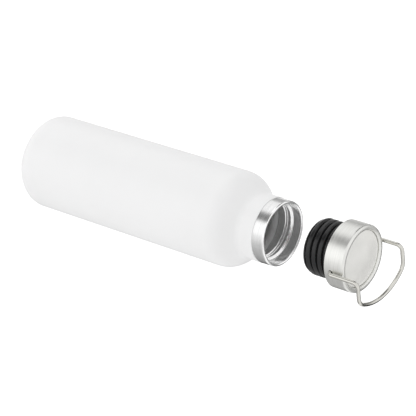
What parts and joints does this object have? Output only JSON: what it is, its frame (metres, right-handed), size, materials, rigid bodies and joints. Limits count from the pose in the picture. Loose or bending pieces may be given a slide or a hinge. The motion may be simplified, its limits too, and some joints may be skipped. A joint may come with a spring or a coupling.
{
  "type": "insulated water bottle",
  "caption": "Slim double-wall steel drinking bottle with a rounded shoulder, bare threaded mouth ring, insulated screw cap and swinging wire bail.",
  "frame": {"origin": "centre of the foot ring, on the surface the bottle stands on", "axes": "+Z from the base to the mouth, X along the bail's pivot axis, the bail's loop leans to +Y"},
  "size_m": [0.073, 0.073, 0.317],
  "materials": {
    "powder_coat": "fine-textured white powder coating",
    "bare_steel": "brushed round the axis",
    "inner_steel": "electropolished, fine lines round the axis",
    "lip_steel": "polished",
    "cap_steel": "brushed, warm tint",
    "satin_disc": "blasted satin",
    "wire_steel": "polished",
    "black_plastic": "satin moulded polypropylene",
    "bush_plastic": "acetal",
    "silicone": "translucent silicone",
    "foam": "closed-cell foam",
    "copper": "copper foil",
    "getter_metal": "sintered",
    "glass_seal": "solder glass",
    "adhesive": "acrylic foam tape"
  },
  "bodies": {
    "bottle": {"body_coating": "powder_coat", "outer_shell": "bare_steel", "outer_base": "bare_steel", "vacuum_seal": "glass_seal", "cover_adhesive": "adhesive", "base_cover": "bare_steel", "getter": "getter_metal", "getter_clip": "bare_steel", "inner_flask": "inner_steel", "inner_base": "inner_steel", "copper_foil": "copper", "threaded_mouth": "inner_steel", "lip_ring": "lip_steel"},
    "seal": {"gasket": "silicone"},
    "cap": {"cap_shell": "cap_steel", "disc_adhesive": "adhesive", "top_disc": "satin_disc", "core_lid": "black_plastic", "threaded_plug": "black_plastic", "foam_core": "foam", "bush_right": "bush_plastic", "bush_left": "bush_plastic"},
    "bail": {"bail_wire": "wire_steel"}
  },
  "joints": [
    {"name": "cap_lift", "type": "slide", "parent": "bottle", "child": "seal", "axis": [0, 0, 1], "range_m": [-0.053, 0]},
    {"name": "cap_turn", "type": "hinge", "parent": "seal", "child": "cap", "pos_m": [0, 0, 0.2855], "axis": [0, 0, 1], "range_deg": [-3816, 0]},
    {"name": "bail_swing", "type": "hinge", "parent": "cap", "child": "bail", "pos_m": [0, 0, 0.291], "axis": [1, 0, 0], "range_deg": [-75, 170]}
  ],
  "couplings": [
    {"joint": "cap_lift", "follows": "cap_turn", "m_per_rad": 0.00079577}
  ]
}
